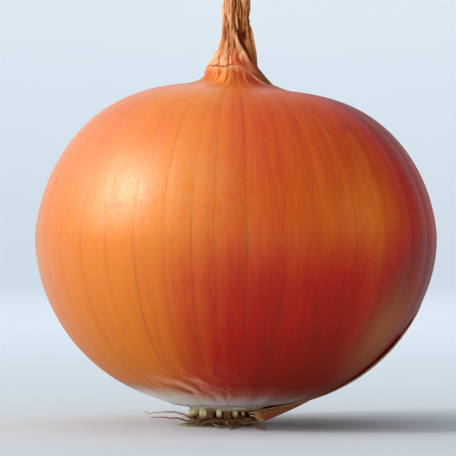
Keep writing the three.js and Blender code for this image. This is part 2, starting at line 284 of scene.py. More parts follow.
def grown(name, build, inputs, material, start=None, thickness=0.0):
    """Grows a piece from a Geometry Nodes tree and leaves it as a plain mesh at the origin."""
    tree = bpy.data.node_groups.new(name, "GeometryNodeTree")
    tree.is_modifier = True
    interface = tree.interface
    interface.new_socket(name="Geometry", in_out="INPUT", socket_type="NodeSocketGeometry")
    sockets = {}
    for label, value in inputs.items():
        kind = "NodeSocketInt" if isinstance(value, int) else "NodeSocketFloat"
        sockets[label] = interface.new_socket(name=label, in_out="INPUT", socket_type=kind)
        sockets[label].default_value = value
    sockets["Material"] = interface.new_socket(
        name="Material", in_out="INPUT", socket_type="NodeSocketMaterial"
    )
    interface.new_socket(name="Geometry", in_out="OUTPUT", socket_type="NodeSocketGeometry")
    nodes = Nodes(tree)
    entry = nodes.add("NodeGroupInput", output="Geometry")
    given = {label: entry.also(label) for label in inputs}
    given["Geometry"] = entry
    geometry = build(nodes, given)
    geometry = nodes.add("GeometryNodeRealizeInstances", None, {"Geometry": geometry})
    geometry = nodes.add("GeometryNodeSetShadeSmooth", None, {"Geometry": geometry})
    sockets_now = {"Geometry": geometry, "Material": entry.also("Material")}
    geometry = nodes.add("GeometryNodeSetMaterial", None, sockets_now)
    nodes.add("NodeGroupOutput", None, {"Geometry": geometry})

    holder = bpy.data.objects.new(name + "_tree", start or bpy.data.meshes.new(name + "_start"))
    bpy.context.collection.objects.link(holder)
    modifier = holder.modifiers.new("Grow", "NODES")
    modifier.node_group = tree
    for label, value in inputs.items():
        modifier[sockets[label].identifier] = value
    modifier[sockets["Material"].identifier] = material
    if thickness:
        wall = holder.modifiers.new("Wall", "SOLIDIFY")
        wall.thickness = thickness
        wall.offset = 1.0
    holder.update_tag()
    depsgraph = bpy.context.evaluated_depsgraph_get()
    mesh = bpy.data.meshes.new_from_object(holder.evaluated_get(depsgraph), depsgraph=depsgraph)
    mesh.name = name
    bpy.data.objects.remove(holder)
    if len(mesh.polygons) == 0:
        raise RuntimeError(name + " has no faces")
    piece = bpy.data.objects.new(name, mesh)
    bpy.context.collection.objects.link(piece)
    return piece


def placed(piece, node):
    """Lets a piece stand for a CAD node and ride with the onion."""
    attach(piece, "root")
    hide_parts(node)


# The rule of the onion's outside, which the bulb, the neck and the torn skin share

# How full the bulb is below and above its widest ring, as powers for its width and its height
LOWER_WIDTH, LOWER_HEIGHT = 0.86, 1.05
UPPER_WIDTH, UPPER_HEIGHT = 0.65, 1.18
# How much wider the neck's foot is than the neck, close to the shoulder and further up
FLARE_CLOSE, FLARE_WIDE = 5.55 * MM, 3.7 * MM
# How far the neck's folds wind, in radians: round the foot in all, and for each millimetre
FOOT_TWIST, TWIST_PER_MM = 1.0472, 0.02618
# The valley beside the neck's pale ridge: its azimuth at a height, and its turn for each millimetre
VALLEY_DEGREES, VALLEY_HEIGHT, VALLEY_SLANT = 56.0, 5.3, 8.5


def vein_azimuth(given, around):
    """The azimuth at a share of the way round, and how far the skin swells between two veins."""
    rib = (around - 0.5) * given["Veins"]
    even = (around - 0.5) * 360.0
    turn = around * TURN
    crowding = even.bell(25.0, 38.0) * 8.0 + even.bell(4.0, 11.0) * 3.0
    uneven = (turn * 5.0 + 1.0).sin() * 0.6 + (turn * 13.0 + 2.0).sin() * 0.5
    azimuth = (even + 1.8 - crowding + uneven * abs(even).span(50.0, 90.0)) * DEGREE
    share = rib.fraction()
    swell = share * (1.0 - share) * 6.0 - 1.0
    return azimuth, swell * (even.bell(74.0, 34.0) * 1.8 + 1.0)


def collar_rise(nodes, given, azimuth):
    """How high the torn collar is above the shoulder."""
    degrees = azimuth * (1 / DEGREE)
    dip = degrees.ease(14.0, 48.0) * degrees.fade(105.0, 150.0)
    wavy = (azimuth * 5.0 + 1.0).sin() * 0.2 + (azimuth * 11.0 + 2.0).sin() * 0.13
    ring = nodes.vector(azimuth.sin(), azimuth.cos(), 0.0)
    torn = nodes.noise(ring * 9.0, detail=4.0, roughness=0.65) * 0.7
    rise = given["Collar Height"] - given["Collar Dip"] * dip
    return rise + (wavy * (1.0 - dip * 0.7) + torn * (1.0 - dip * 0.5)) * MM


def fold_wave(azimuth, rise):
    """Folds of the dry neck, which wind round its foot and run nearly straight above."""
    millimetres = rise / MM
    twist = FOOT_TWIST * (1.0 - (millimetres / -3.5).exp()) + millimetres * TWIST_PER_MM
    turned = azimuth + twist
    broad = (turned * 7.0 + 0.4).sin() * 0.5
    narrow = (turned * 11.0 + 1.3 + millimetres * 0.1).sin() * 0.35
    uneven = (turned * 4.0 + millimetres * 0.25).sin() * 0.25
    return broad + narrow + uneven, turned


def neck_shift(rise):
    """The neck's sideways place: it bends a little."""
    foot = rise.bell(4.6 * MM, 2.2 * MM) * (-0.65 * MM) + rise.ease(9 * MM, 18 * MM) * (0.18 * MM)
    over_x = (rise - 17 * MM).at_least(0.0)
    over_y = (rise - 12 * MM).at_least(0.0)
    return foot + over_x * over_x * 18.0, over_y * over_y * 10.0


def skin_point(given, azimuth, place, rise, swell, proud=0.0, bed=0.0):
    """A point of the outside. Place is 0 at the root end, 1 at the equator and 2 at the shoulder."""
    radius = given["Bulb Radius"]
    root_angle = ((given["Root End Radius"] / radius) ** (1 / LOWER_WIDTH)).acos()
    shoulder_angle = ((given["Shoulder Radius"] / radius) ** (1 / UPPER_WIDTH)).acos()
    below = root_angle * (1.0 - place.span(0.0, 1.0))
    above = shoulder_angle * place.span(1.0, 2.0)
    body = radius * below.cos() ** LOWER_WIDTH * above.cos() ** UPPER_WIDTH
    up = rise.at_least(0.0)
    flare = (up / (-0.8 * MM)).exp() * FLARE_CLOSE + up.bell(0.0, 6.4 * MM) * FLARE_WIDE
    narrowing = (given["Neck Radius"] + flare) / (given["Neck Radius"] + (FLARE_CLOSE + FLARE_WIDE))
    height = (
        given["Equator Height"]
        - given["Lower Depth"] * below.sin() ** LOWER_HEIGHT
        + given["Upper Rise"] * above.sin() ** UPPER_HEIGHT
        + rise
    )
    lean = given["Shoulder Lean"] * above.sin() ** 2.0 * (rise / (-2 * MM)).exp()
    near_root = body.fade(given["Root End Radius"], 16 * MM) * place.fade(0.7, 1.0)
    aside = given["Root End Shift"] * near_root
    fold, _ = fold_wave(azimuth, rise)
    folded = rise.ease(0.3 * MM, 4 * MM) * fold * 0.13 + 1.0
    out = body * narrowing * folded + given["Rib Height"] * swell + proud - bed
    out = out + rise.at_most(0.0) * 2.5
    neck_x, neck_y = neck_shift(rise)
    x = azimuth.sin() * out + aside + neck_x
    y = azimuth.cos() * out * -1.0 + neck_y
    z = height - lean * azimuth.sin()
    return x, y, z


def under_torn_skin(azimuth, place):
    """How far under the torn outer skin a place is, from 0 to 1."""
    degrees = azimuth * (1 / DEGREE)
    across = degrees.ease(56.0, 82.0) * degrees.fade(143.0, 176.0)
    return across * place.fade(0.55, 0.9)


def lattice(nodes, given):
    """A grid whose u runs round the onion and whose v runs up it."""
    sockets = {
        "Size X": 1.0,
        "Size Y": 1.0,
        "Vertices X": given["Columns"] + 1.0,
        "Vertices Y": given["Rows"] + 1.0,
    }
    grid = nodes.add("GeometryNodeMeshGrid", None, sockets, "Mesh")
    sockets = {"Geometry": grid, "Name": "UVMap", "Value": grid.also("UV Map")}
    settings = {"data_type": "FLOAT2", "domain": "CORNER"}
    grid = nodes.add("GeometryNodeStoreNamedAttribute", settings, sockets)
    x, y, _ = nodes.parts(nodes.position())
    return grid, x + 0.5, y + 0.5


def moved(nodes, geometry, x, y, z, **marks):
    """Moves the points, after it has kept the marks on them for the material."""
    for name, value in marks.items():
        sockets = {"Geometry": geometry, "Name": name, "Value": value}
        geometry = nodes.add("GeometryNodeStoreNamedAttribute", None, sockets)
    sockets = {"Geometry": geometry, "Position": nodes.vector(x, y, z)}
    return nodes.add("GeometryNodeSetPosition", None, sockets)


def welded(nodes, geometry):
    sockets = {"Geometry": geometry, "Distance": 0.004 * MM}
    return nodes.add("GeometryNodeMergeByDistance", None, sockets)


# The pieces


def bulb_tree(nodes, given):
    """The bulb's skin, from its recess for the root plate up to the torn collar and in again."""
    grid, u, v = lattice(nodes, given)
    azimuth, swell = vein_azimuth(given, u)
    share = v.span(0.04, 0.82)
    place = share * 2.0 - (share * TURN).sin() * 0.2
    collar = collar_rise(nodes, given, azimuth)
    flare = v.span(0.82, 0.96)
    lip = v.span(0.96, 1.0)
    recess = 1.0 - v.span(0.0, 0.04)
    rise = collar * flare ** 1.35
    side, front = azimuth.sin(), azimuth.cos()
    ring = nodes.vector(side, front, place)
    uneven = nodes.noise(ring * 1.4) * (0.45 * MM)
    narrow = nodes.noise((side * 3.6, front * 3.6, place * 5.0))
    pleats = (0.3 - (abs(narrow) * 3.0).at_most(0.9)) * flare.ease(0.05, 0.75)
    pleats = pleats * given["Pleat Height"]
    gathers = nodes.noise((side * 9.0, front * 9.0, place * 1.5), detail=1.0)
    gathers = gathers * place.ease(1.5, 2.0) * (0.25 * MM)
    across = nodes.vector(place * 15.0 + azimuth * 4.0, azimuth * 2.2, side * 2.0)
    puckers = 0.5 - (abs(nodes.noise(across, detail=1.0)) * 4.0).at_most(1.0)
    puckered = azimuth.bell(math.radians(-28), math.radians(16)) * place.bell(0.26, 0.09)
    wrinkles = nodes.noise((side * 6.0, front * 6.0, place * 9.0))
    wrinkles = wrinkles * place.fade(0.05, 0.5) * (0.45 * MM)
    curl = nodes.noise(ring * 3.0) * 0.8 + azimuth.bell(0.16, 0.3) * 0.5
    proud = uneven + pleats + gathers + wrinkles + puckers * puckered * (0.75 * MM)
    proud = proud + (curl * flare ** 7.0 - flare * 0.2) * (0.8 * MM)
    bed = under_torn_skin(azimuth, place) * (0.3 * MM)
    x, y, z = skin_point(given, azimuth, place, rise, swell, proud, bed)
    inside = lip.ease(0.0, 0.25) * (0.35 * MM) + recess.ease(0.0, 0.3) * (1.2 * MM)
    closing = (1.0 - lip.span(0.8, 1.0)) * (1.0 - recess.span(0.75, 1.0))
    centre_x = given["Root End Shift"] * recess.span(0.0, 0.01)
    x = (x - side * inside - centre_x) * closing + centre_x
    y = (y + front * inside) * closing
    z = z - lip.ease(0.15, 0.8) * (2.2 * MM) + recess.ease(0.2, 0.75) * (1.5 * MM)
    return welded(nodes, moved(nodes, grid, x, y, z, collar=flare))


def neck_tree(nodes, given):
    """The dry neck: folded sheaths that come out of the collar and end in a torn hollow tip."""
    grid, u, v = lattice(nodes, given)
    azimuth = (u - 0.5) * TURN
    collar = collar_rise(nodes, given, azimuth)
    foot = v.span(0.0, 0.02)
    climb = v.span(0.02, 0.96)
    tip = v.span(0.96, 1.0)
    start = collar - 1.2 * MM
    rise = start + (given["Neck Length"] - start) * climb ** 1.2
    above_collar = rise - collar
    fold, turned = fold_wave(azimuth, rise)
    millimetres = rise / MM
    side, front = turned.sin(), turned.cos()
    around = nodes.vector(side * 2.0, front * 2.0, millimetres * 0.085)
    sheets = nodes.noise(around)
    cracks = 1.0 - abs(sheets).ease(0.0, 0.085)
    around = nodes.vector(side * 4.6, front * 4.6, millimetres * 0.2 + 7.0)
    wrinkles = nodes.noise(around, detail=3.0, roughness=0.6)
    creases = 1.0 - abs(wrinkles).ease(0.0, 0.1)
    lap = (turned * (3 / TURN) + nodes.noise(around * 0.25) * 0.8).fraction()
    lap = lap - lap ** 14.0 - 0.45
    valley_degrees = VALLEY_DEGREES - (millimetres - VALLEY_HEIGHT) * VALLEY_SLANT
    run = azimuth - valley_degrees * DEGREE
    valley = run.bell(0.0, 0.14) * millimetres.ease(3.8, 5.8) * millimetres.fade(10.5, 13.0)
    ridge = run.bell(-0.32, 0.14) * millimetres.ease(3.8, 6.0) * millimetres.fade(13.0, 16.0)
    slit = azimuth.bell(0.68, 0.13) * millimetres.bell(10.6, 0.75)
    seams = 0.0
    for bearing in (-0.75, -0.2, 0.28):
        wander = (millimetres * 0.5 + bearing * 9.0).sin() * 0.1
        seams = (azimuth - wander).bell(bearing, 0.09) + seams
    seams = seams * millimetres.ease(4.5, 9.0) * (wrinkles * 2.0 + 0.8).span(0.0, 1.0)
    smooth_side = azimuth.bell(1.45, 0.5) * millimetres.fade(3.5, 8.0)
    shaft = (above_collar.ease(0.0, 2.5 * MM) * 0.8 + 0.2) * (1.0 - smooth_side * 0.75)
    relief = sheets * 0.75 + wrinkles * 0.5 + lap * 0.3 - cracks * 0.45 - creases * 0.25
    relief = relief * shaft + ridge * 0.6 - valley * 0.8 - slit * 0.9 - seams * 0.3 + shaft * 0.08
    tucked = above_collar.fade(0.0, 1.0 * MM) * 0.15 + above_collar.ease(0.0, -0.3 * MM) * 0.5
    proud = (relief - tucked) * MM
    at_shoulder = rise * 0.0 + 2.0
    x, y, z = skin_point(given, azimuth, at_shoulder, rise, 0.0, proud)
    middle_x, middle_y = neck_shift(rise)
    frayed = (azimuth * 3.0 + 0.5).sin() * 0.7 + (azimuth * 8.0).sin() * 0.4 + wrinkles * 2.0
    frayed = frayed * climb.ease(0.86, 1.0) * (1.0 - tip.span(0.3, 1.0))
    wall = (1.0 - tip.span(0.0, 0.3) * 0.22) * (1.0 - tip.span(0.6, 1.0)) * foot
    x = (x - middle_x) * wall + middle_x
    y = (y - middle_y) * wall + middle_y
    z = z + (frayed - 0.8 * climb.ease(0.86, 1.0)) * MM - tip.ease(0.1, 0.8) * (3.2 * MM)
    depth = fold * 0.12 + (sheets * 0.9 + wrinkles * 1.1 + lap * 0.35) * (shaft * 0.4 + 0.6) + 0.7
    depth = depth - (cracks * 0.6 + creases * 0.4) * shaft - valley * 1.1 - slit * 2.0
    marks = {
        "fold": depth,
        "rise": millimetres,
        "above": above_collar / MM,
        "ridges": ridge - valley - slit * 1.5 - seams * 0.8,
        "sheath": azimuth.ease(0.7, 1.1) * azimuth.fade(2.3, 2.8) * millimetres.fade(4.0, 9.0),
    }
    return welded(nodes, moved(nodes, grid, x, y, z, **marks))


TORN_SKIN_WALL = 0.18 * MM


def torn_skin_tree(nodes, given):
    """The remnant of outermost skin: it hugs the bulb above and springs clear of it below."""
    grid, u, v = lattice(nodes, given)
    edge = nodes.noise((v * 3.0, u * 0.3, 2.0), detail=4.0, roughness=0.6)
    first = v.ease(0.0, 0.5) * 20.0 + v * 14.0 + 39.0
    last = 168.0 - v * v * 30.0
    degrees = first + (last - first) * u + edge * (1.0 - u * 2.0) * 9.0
    azimuth = degrees * DEGREE
    hump = 8.0 * (1.0 - (u ** 0.8 * math.pi).sin())
    torn = nodes.noise((u * 5.0, 0.0, 5.0), detail=6.0, roughness=0.75) * 11.0
    top = (torn + 24.0 - hump) * MM
    depth = (given["Equator Height"] - top) / given["Lower Depth"]
    root_angle = ((given["Root End Radius"] / given["Bulb Radius"]) ** (1 / LOWER_WIDTH)).acos()
    top_place = 1.0 - (depth ** (1 / LOWER_HEIGHT)).asin() / root_angle
    place = top_place * v.span(0.15, 1.0)
    ends = nodes.noise((u * 5.0, 3.0, 1.0), detail=4.0, roughness=0.6) * 4.0
    reach = (ends + 7.6 + u.ease(0.1, 0.8) * 4.0) * MM
    inward = (given["Root End Radius"] - reach) * (1.0 - v.span(0.0, 0.15))
    loose = v.fade(0.0, 0.5) * (1.0 - u * 0.5)
    wave = nodes.noise((u * 4.0, v * 2.0, 9.0)) * loose * (1.4 * MM)
    lifted = u.fade(0.0, 0.09) * v.ease(0.15, 0.3) * (0.55 * MM) + 0.08 * MM
    x, y, z = skin_point(given, azimuth, place, place * 0.0, 0.0, lifted, 0.3 * MM)
    x = x - azimuth.sin() * inward
    y = y + azimuth.cos() * inward
    from_middle = x - given["Root End Shift"]
    from_root = (from_middle * from_middle + y * y) ** 0.5
    free = from_root.span(17 * MM, 7.6 * MM)
    sag = u.ease(0.0, 0.3) * (1.0 - u * 0.5) * 0.85 + 0.27
    z = z - free * sag * (2.9 * MM) - inward * 0.3 + wave
    return moved(nodes, grid, x, y, z.at_least(0.7 * MM), across=u, edge=v)


class ONION_OT_bulb(bpy.types.Operator):
    """Grow the bulb's ribbed skin with its veins and torn collar"""

    bl_idname = "onion.bulb"
    bl_label = "Bulb"

    def execute(self, context):
        inputs = size_inputs() | {"Columns": 432, "Rows": 210}
        piece = grown("bulb_skin", bulb_tree, inputs, skin_material())
        placed(piece, "bulb")
        return {"FINISHED"}


class ONION_OT_neck(bpy.types.Operator):
    """Grow the twisted dry neck out of the collar"""

    bl_idname = "onion.neck"
    bl_label = "Dry Neck"

    def execute(self, context):
        inputs = size_inputs() | {"Columns": 260, "Rows": 230}
        piece = grown("neck_sheaths", neck_tree, inputs, neck_material())
        placed(piece, "dried_neck")
        return {"FINISHED"}


class ONION_OT_torn_skin(bpy.types.Operator):
    """Grow the torn remnant of outermost skin over the bulb's lower right"""

    bl_idname = "onion.torn_skin"
    bl_label = "Torn Outer Skin"

    def execute(self, context):
        inputs = size_inputs() | {"Columns": 150, "Rows": 90}
        look = torn_skin_material()
        piece = grown("torn_outer_skin", torn_skin_tree, inputs, look, thickness=TORN_SKIN_WALL)
        placed(piece, "outer_skin_remnant")
        return {"FINISHED"}


def plate_tree(nodes, given):
    """The corky root plate, a lumpy flat disc in the recess of the bulb."""
    sockets = {"Segments": 96, "Rings": 40, "Radius": 1.0}
    ball = nodes.add("GeometryNodeMeshUVSphere", None, sockets, "Mesh")
    x, y, z = nodes.parts(nodes.position())
    lumps = nodes.noise((x * 6.0, y * 6.0, z * 2.0), detail=3.0) * 0.12 + 1.0
    squared = 1.0 - (1.0 - (1.0 - z * z).at_least(0.0) ** 0.5) * 0.75
    out = given["Plate Radius"] * squared * lumps * (x.ease(-0.2, 0.9) * 0.1 + 1.0)
    up = given["Middle Height"] + z * given["Half Thickness"]
    return moved(nodes, ball, x * out + given["Root End Shift"], y * out, up)


def root_base_tree(nodes, given):
    """The swollen root bases: small blunt pegs round the rim of the root plate."""
    sockets = {"Vertices": given["Bases"], "Radius": given["Ring Radius"]}
    ring = nodes.add("GeometryNodeMeshCircle", None, sockets)
    peg = nodes.add("GeometryNodeMeshCube", None, {"Size": 2.0}, "Mesh")
    sockets = {"Mesh": peg, "Level": 4, "Edge Crease": 0.3}
    peg = nodes.add("GeometryNodeSubdivisionSurface", None, sockets)

    def drawn(low, high, seed):
        sockets = {"Min": low, "Max": high, "Seed": given["Seed"] + float(seed)}
        return nodes.add("FunctionNodeRandomValue", {"data_type": "FLOAT"}, sockets)

    x, y, _ = nodes.parts(nodes.position())
    to_back_right = ((x - y * 0.3) / given["Ring Radius"]).ease(0.3, 0.9)
    size = drawn(0.65, 1.25, 1) * (1.0 - to_back_right * 0.6)
    scale = nodes.vector(size * (0.6 * MM), size * (0.78 * MM), size * (1.2 * MM))
    bearing = y.atan2(x) + drawn(-0.5, 0.5, 7)
    turned = nodes.vector(drawn(-0.35, 0.35, 2), drawn(-0.6, 0.0, 3), bearing)
    turned = nodes.add("FunctionNodeEulerToRotation", None, {"Euler": turned})
    sockets = {
        "Points": ring,
        "Selection": drawn(0.0, 1.0, 4).exceeds(0.22),
        "Instance": peg,
        "Rotation": turned,
        "Scale": scale,
    }
    pegs = nodes.add("GeometryNodeInstanceOnPoints", None, sockets)
    sockets = {"Geometry": pegs, "Name": "tone", "Value": drawn(0.0, 1.0, 5)}
    pegs = nodes.add("GeometryNodeStoreNamedAttribute", {"domain": "INSTANCE"}, sockets)
    up = nodes.vector(0.0, 0.0, drawn(-0.15 * MM, 0.2 * MM, 6))
    sockets = {"Instances": pegs, "Translation": up}
    pegs = nodes.add("GeometryNodeTranslateInstances", None, sockets)
    pegs = nodes.add("GeometryNodeRealizeInstances", None, {"Geometry": pegs})
    lumps = nodes.noise(nodes.position(), detail=3.0, scale=650.0) * (0.9 * MM)
    away = nodes.vector(given["Root End Shift"], 0.0, given["Ring Height"])
    away = nodes.add("GeometryNodeInputNormal") * lumps + away
    return nodes.add("GeometryNodeSetPosition", None, {"Geometry": pegs, "Offset": away})


def mat_tree(nodes, given):
    """The root mat: a matted, ragged cushion of root ends, pressed flat below."""
    sockets = {"Segments": 150, "Rings": 60, "Radius": 1.0}
    ball = nodes.add("GeometryNodeMeshUVSphere", None, sockets, "Mesh")
    x, y, z = nodes.parts(nodes.position())
    lumps = nodes.noise((x * 5.0, y * 5.0, z), detail=5.0, roughness=0.7)
    squared = 1.0 - (1.0 - (1.0 - z * z).at_least(0.0) ** 0.5) * 0.6
    out = given["Mat Radius"] * squared * (lumps * 0.5 + 0.96)
    up = given["Mat Height"] * (z * (lumps * 1.2 + 0.95) * 0.62 + 0.46)
    return moved(nodes, ball, x * out + given["Root End Shift"], y * out, up.at_least(0.0))


def root_tree(nodes, given):
    """Dry roots along the start mesh's chains: each tapers, kinks and shrivels."""
    curve = nodes.add("GeometryNodeMeshToCurve", None, {"Mesh": given["Geometry"]})
    smooth = {"spline_type": "CATMULL_ROM"}
    curve = nodes.add("GeometryNodeCurveSplineType", smooth, {"Curve": curve})
    sockets = {"Curve": curve, "Length": given["Step"]}
    curve = nodes.add("GeometryNodeResampleCurve", {"mode": "LENGTH"}, sockets)
    position = nodes.position()
    sockets = {"Vector": position, "Scale": 700.0, "Detail": 2.0}
    kink = nodes.add("ShaderNodeTexNoise", None, sockets, "Color") - 0.5
    sockets = {"Geometry": curve, "Offset": kink * given["Kink"]}
    curve = nodes.add("GeometryNodeSetPosition", None, sockets)
    along = nodes.add("GeometryNodeSplineParameter")
    thick = nodes.add("GeometryNodeInputNamedAttribute", {"data_type": "FLOAT"}, {"Name": "thick"})
    withered = nodes.noise(position, scale=1400.0) * 0.7 + 1.0
    sockets = {"Curve": curve, "Radius": thick * withered * (1.0 - along ** 1.5 * 0.65)}
    curve = nodes.add("GeometryNodeSetCurveRadius", None, sockets)
    sockets = {"Resolution": given["Sides"], "Radius": 1.0}
    ring = nodes.add("GeometryNodeCurvePrimitiveCircle", None, sockets)
    radius = nodes.add("GeometryNodeInputRadius")
    sockets = {"Curve": curve, "Profile Curve": ring, "Scale": radius, "Fill Caps": True}
    tubes = nodes.add("GeometryNodeCurveToMesh", None, sockets)
    x, y, z = nodes.parts(nodes.position())
    return moved(nodes, tubes, x, y, z.at_least(0.0))


# The roots that stand out, each as its tone, thickness and points in millimetres
LONG_ROOTS = (
    (0.95, 0.26, ((-7.6, -2.0, 1.6), (-9.6, -1.6, 2.0), (-11.1, -1.2, 2.3), (-12.5, -1.0, 2.7),
                  (-15.7, -0.6, 2.5), (-17.6, 0.0, 2.3), (-18.3, 0.2, 2.8))),
    (0.10, 0.21, ((-7.4, -3.2, 0.7), (-9.0, -3.0, 0.8), (-10.5, -2.6, 1.2), (-11.7, -2.2, 1.5),
                  (-14.7, -1.6, 1.6), (-16.9, -1.2, 1.6))),
    (0.55, 0.20, ((-6.8, -3.6, 1.2), (-8.4, -4.4, 0.6), (-9.4, -4.6, 0.9), (-9.0, -5.2, 1.5),
                  (-8.0, -5.4, 1.1), (-7.2, -5.8, 0.5))),
    (0.15, 0.20, ((2.2, -4.6, 0.9), (3.2, -6.6, 0.7), (4.0, -9.4, 0.3), (4.9, -14.0, 0.2),
                  (5.4, -17.0, 0.2), (5.3, -23.0, 0.2))),
    (0.35, 0.17, ((3.4, -7.2, 0.5), (4.2, -8.6, 0.5), (5.0, -8.4, 0.3), (6.0, -9.0, 0.2))),
    (0.60, 0.16, ((-4.8, -5.2, 0.8), (-4.4, -7.6, 0.5), (-3.6, -9.0, 0.2), (-2.6, -8.6, 0.2),
                  (-1.6, -7.4, 0.3))),
    (0.20, 0.15, ((-1.4, -6.0, 0.6), (-2.4, -9.5, 0.2), (-3.3, -13.0, 0.2))),
    (0.25, 0.15, ((-0.4, -5.6, 0.6), (-1.2, -8.8, 0.2), (-1.9, -12.0, 0.2))),
    (0.12, 0.24, ((0.6, -6.0, 0.8), (0.2, -10.0, 0.3), (-0.5, -14.5, 0.2), (-1.3, -19.0, 0.2))),
)


def root_paths(sizes, count):
    """The long roots and seeded shorter ones, each as a tone, a thickness and points."""
    draw = random.Random(sizes.seed)
    paths = [
        (tone, thick * MM, [Vector(point) * MM for point in points])
        for tone, thick, points in LONG_ROOTS
    ]
    middle = Vector((sizes.root_end_shift, 0, 0))
    for _ in range(count):
        bearing = draw.uniform(-math.pi, math.pi)
        rightwards = max(0.0, math.sin(bearing))
        reach = draw.uniform(1.2, 5.5) * (1 - 0.75 * rightwards) * MM
        heading = bearing + draw.uniform(-0.8, 0.8)
        point = middle + Vector((math.sin(bearing), -math.cos(bearing), 0)) * 5.4 * MM
        point.z = draw.uniform(0.3, 1.5) * MM
        points = [point.copy()]
        for _ in range(5):
            heading += draw.uniform(-0.75, 0.75)
            point += Vector((math.sin(heading), -math.cos(heading), 0)) * (reach + 1.4 * MM) / 5
            point.z = max(0.15 * MM, point.z + draw.uniform(-0.5, 0.3) * MM)
            points.append(point.copy())
        paths.append((draw.random() ** 1.6, draw.uniform(0.07, 0.17) * MM, points))
    return paths


def chains(name, paths):
    """A mesh of edges only: one chain for each path, with its tone and thickness on its points."""
    mesh = bpy.data.meshes.new(name)
    points = [point for _, _, path in paths for point in path]
    edges, start = [], 0
    for _, _, path in paths:
        edges += [(start + i, start + i + 1) for i in range(len(path) - 1)]
        start += len(path)
    mesh.from_pydata(points, edges, [])
    for label, values in (
        ("tone", [tone for tone, _, path in paths for _ in path]),
        ("thick", [thick for _, thick, path in paths for _ in path]),
    ):
        mesh.attributes.new(label, "FLOAT", "POINT").data.foreach_set("value", values)
    return mesh


class ONION_OT_root_plate(bpy.types.Operator):
    """Grow the root plate and the swollen root bases on its rim"""

    bl_idname = "onion.root_plate"
    bl_label = "Root Plate"

    def execute(self, context):
        inputs = size_inputs("root_end_shift") | {
            "Plate Radius": 6.9 * MM,
            "Middle Height": (PLATE_LOW[2] + PLATE_HIGH[2]) / 2,
            "Half Thickness": (PLATE_HIGH[2] - PLATE_LOW[2]) / 2,
        }
        piece = grown("root_plate_cork", plate_tree, inputs, cork_material())
        placed(piece, "root_plate")
        inputs = size_inputs("root_end_shift", "seed") | {
            "Bases": 25,
            "Ring Radius": 6.6 * MM,
            "Ring Height": 2.55 * MM,
        }
        piece = grown("root_bases", root_base_tree, inputs, root_base_material())
        placed(piece, "root_plate")
        return {"FINISHED"}


class ONION_OT_root_tuft(bpy.types.Operator):
    """Grow the root mat and its dry roots"""

    bl_idname = "onion.root_tuft"
    bl_label = "Root Tuft"

    def execute(self, context):
        inputs = size_inputs("root_end_shift") | {"Mat Radius": 6.6 * MM, "Mat Height": 2.4 * MM}
        piece = grown("root_mat", mat_tree, inputs, root_material())
        placed(piece, "root_tuft")
        inputs = {"Step": 0.3 * MM, "Kink": 0.45 * MM, "Sides": 7}
        start = chains("root_chains", root_paths(context.scene.onion_sizes, 90))
        piece = grown("dry_roots", root_tree, inputs, root_material(), start=start)
        placed(piece, "root_tuft")
        return {"FINISHED"}


# Materials


def blank_material(name):
    """An empty material, its node tree and the onion's colours."""
    material = bpy.data.materials.new(name)
    material.use_nodes = True
    material.node_tree.nodes.clear()
    return material, Nodes(material.node_tree), bpy.context.scene.onion_colours


def surface(nodes, base, roughness, relief=None, others=None):
    """Ends a material in a Principled shader. A relief is its height, depth and strength."""
    sockets = {"Base Color": base, "Roughness": roughness, "IOR": 1.45} | (others or {})
    if relief:
        bumped = dict(zip(("Height", "Distance", "Strength"), relief))
        sockets["Normal"] = nodes.add("ShaderNodeBump", None, bumped, "Normal")
    shader = nodes.add("ShaderNodeBsdfPrincipled", None, sockets, "BSDF")
    nodes.add("ShaderNodeOutputMaterial", None, {"Surface": shader})


def bearings(nodes, place):
    """The height, the sine and cosine of the azimuth, and the distance from the axis."""
    x, y, z = nodes.parts(place)
    spread = (x * x + y * y + 1e-9) ** 0.5
    return z, x / spread, y / spread * -1.0, spread


